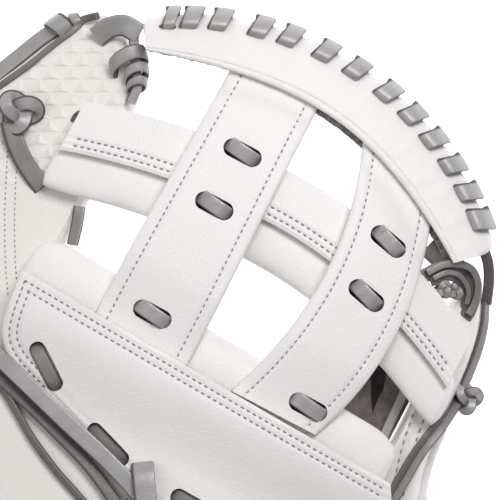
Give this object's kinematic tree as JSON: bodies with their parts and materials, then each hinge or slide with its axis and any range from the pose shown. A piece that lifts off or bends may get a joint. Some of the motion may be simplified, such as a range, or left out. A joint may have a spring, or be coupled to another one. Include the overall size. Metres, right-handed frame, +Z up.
{
  "type": "softball catcher mitt",
  "caption": "Padded white leather catcher's mitt with a two-post laced web, grey lacing and a strap over the wrist, lying face down.",
  "frame": {"origin": "centre of the plan outline, on the surface that the mitt lies on", "axes": "+Z up through the back of the mitt, +Y towards the fingertips and the web's top, +X towards the thumb"},
  "size_m": [0.2604, 0.297, 0.0774],
  "materials": {
    "white_leather": "fine grained, semi-matt",
    "grey_lace": "smooth, slightly shiny",
    "dark_lace": "rough suede side and cut edges"
  },
  "bodies": {
    "root": {"palm_pad": "white_leather", "thumb_back": "white_leather", "finger_back": "white_leather", "wrist_strap": "white_leather", "base_roll": "white_leather", "crossbar_roll": "white_leather", "crossbar_flap": "white_leather", "post_left": "white_leather", "post_right": "white_leather", "web_panel": "white_leather", "top_band": "white_leather", "band_core": "white_leather", "thumb_gusset": "dark_lace", "post_left_lace_1": "grey_lace", "post_left_lace_2": "grey_lace", "post_left_lace_3": "grey_lace", "post_right_lace_1": "grey_lace", "post_right_lace_2": "grey_lace", "post_right_lace_3": "grey_lace", "panel_lace_1": "grey_lace", "panel_lace_2": "grey_lace", "panel_lace_3": "grey_lace", "band_lace_1": "grey_lace", "band_lace_2": "grey_lace", "band_lace_3": "grey_lace", "band_lace_4": "grey_lace", "band_lace_5": "grey_lace", "band_lace_6": "grey_lace", "band_lace_7": "grey_lace", "band_lace_8": "grey_lace", "band_lace_9": "grey_lace", "band_lace_10": "grey_lace", "band_lace_11": "grey_lace", "band_lace_12": "grey_lace", "band_lace_13": "grey_lace", "rim_lace_finger": "grey_lace", "rim_lace_thumb": "grey_lace", "finger_tip_loop": "grey_lace", "finger_web_lace": "grey_lace", "finger_knot_tail": "grey_lace", "crossbar_lace": "grey_lace", "panel_lace_light": "grey_lace", "panel_lace_dark": "dark_lace", "thumb_arch": "grey_lace", "thumb_lace_upper": "grey_lace", "thumb_lace_lower": "grey_lace", "finger_knot": "grey_lace", "rim_knot": "grey_lace", "panel_knot": "grey_lace", "thumb_knot": "grey_lace", "thumb_end_knot": "grey_lace"}
  },
  "joints": []
}
